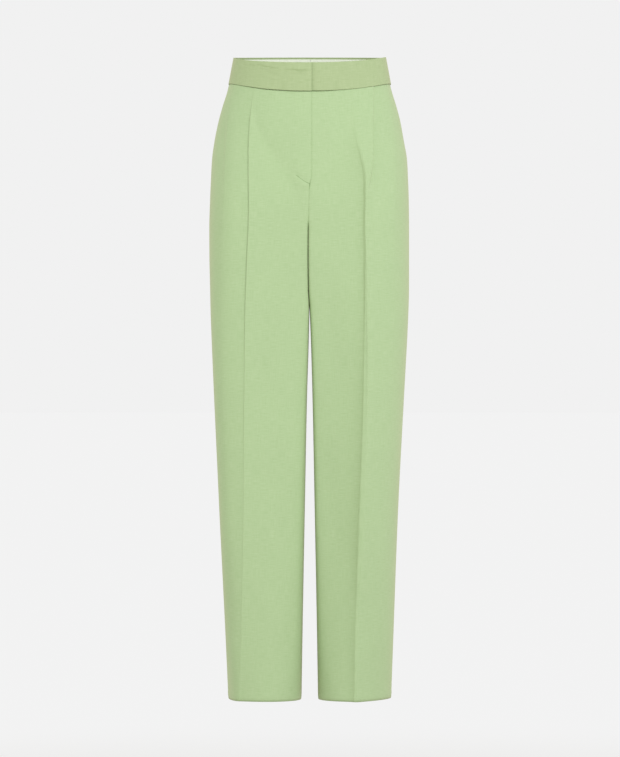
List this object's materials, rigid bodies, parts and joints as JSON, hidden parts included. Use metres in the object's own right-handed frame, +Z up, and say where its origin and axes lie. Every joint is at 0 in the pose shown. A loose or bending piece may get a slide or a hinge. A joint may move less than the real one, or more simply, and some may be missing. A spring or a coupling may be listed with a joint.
{
  "type": "wool trousers",
  "caption": "High-waisted wide-leg wool trousers with pleated fronts, pressed creases and a lapped fly, filled out hollow as when worn.",
  "frame": {"origin": "centre of the waistband's ring, at half the band's height at the sides, where the wearer's waist holds it", "axes": "+Z up towards the waist, -Y towards the front, -X towards the wearer's right"},
  "size_m": [0.3388, 0.2644, 1.1069],
  "materials": {
    "wool": "pale green worsted wool, matt plain weave with slubs",
    "waistband": "the same pale green wool, interlined and pressed flat",
    "facing": "pale woven waistband facing",
    "shield": "pale green wool, doubled",
    "zip": "woven zip tape in the cloth's green"
  },
  "bodies": {
    "root": {"front_right": "wool", "front_left": "wool", "back_right": "wool", "back_left": "wool", "waistband_right": "waistband", "waistband_left": "waistband", "waistband_facing_right": "facing", "waistband_facing_left": "facing", "fly_shield": "shield", "fly_zip": "zip"}
  },
  "joints": []
}
